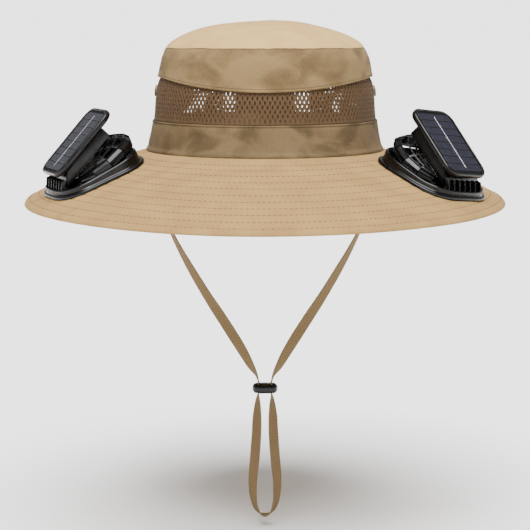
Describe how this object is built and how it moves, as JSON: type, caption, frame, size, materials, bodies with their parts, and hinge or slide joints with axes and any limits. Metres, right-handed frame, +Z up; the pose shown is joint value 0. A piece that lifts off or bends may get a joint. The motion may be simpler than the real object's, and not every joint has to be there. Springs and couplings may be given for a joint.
{
  "type": "wide-brimmed sun hat with solar fan units",
  "caption": "Tan cotton sun hat with a mesh vent band, a wide drooping brim, solar-powered fan units clipped to the brim and a webbing chin strap with a slider.",
  "frame": {"origin": "middle of the head opening, in the plane of the seam between crown and brim", "axes": "+Z up through the crown, front towards -Y, the wearer's left hand at +X. Left and right in the names of nodes, bodies and joints are as seen from the front, so left is -X"},
  "size_m": [0.358, 0.378, 0.3783],
  "materials": {
    "cotton": "matt tan cotton",
    "mesh": "brown polyester net",
    "webbing": "flat woven tape",
    "plastic": "glossy black moulding",
    "cells": "clear glaze over dark solar cells",
    "stud": "dark press stud"
  },
  "bodies": {
    "hat": {"crown_tip": "cotton", "crown_upper_band": "cotton", "crown_mesh_band": "mesh", "crown_lower_band": "cotton", "brim": "cotton", "brim_binding": "cotton", "side_stud_left": "stud", "side_stud_right": "stud", "chin_strap": "webbing", "strap_slider": "plastic", "fan_base_left": "plastic", "fan_clamp_left": "plastic", "fan_cage_left": "plastic", "fan_housing_left": "plastic", "fan_motor_left": "plastic", "panel_frame_left": "plastic", "solar_cells_left": "cells", "fan_base_right": "plastic", "fan_clamp_right": "plastic", "fan_cage_right": "plastic", "fan_housing_right": "plastic", "fan_motor_right": "plastic", "panel_frame_right": "plastic", "solar_cells_right": "cells"},
    "left_fan_wheel": {"fan_rotor_left": "plastic"},
    "right_fan_wheel": {"fan_rotor_right": "plastic"}
  },
  "joints": [
    {"name": "left_fan_spin", "type": "hinge", "parent": "hat", "child": "left_fan_wheel", "pos_m": [-0.12759, -0.0582, -0.00371], "axis": [-0.69, -0.3005, 0.6584], "continuous": true},
    {"name": "right_fan_spin", "type": "hinge", "parent": "hat", "child": "right_fan_wheel", "pos_m": [0.12299, -0.06874, -0.00398], "axis": [0.5976, -0.4533, 0.6613], "continuous": true}
  ]
}
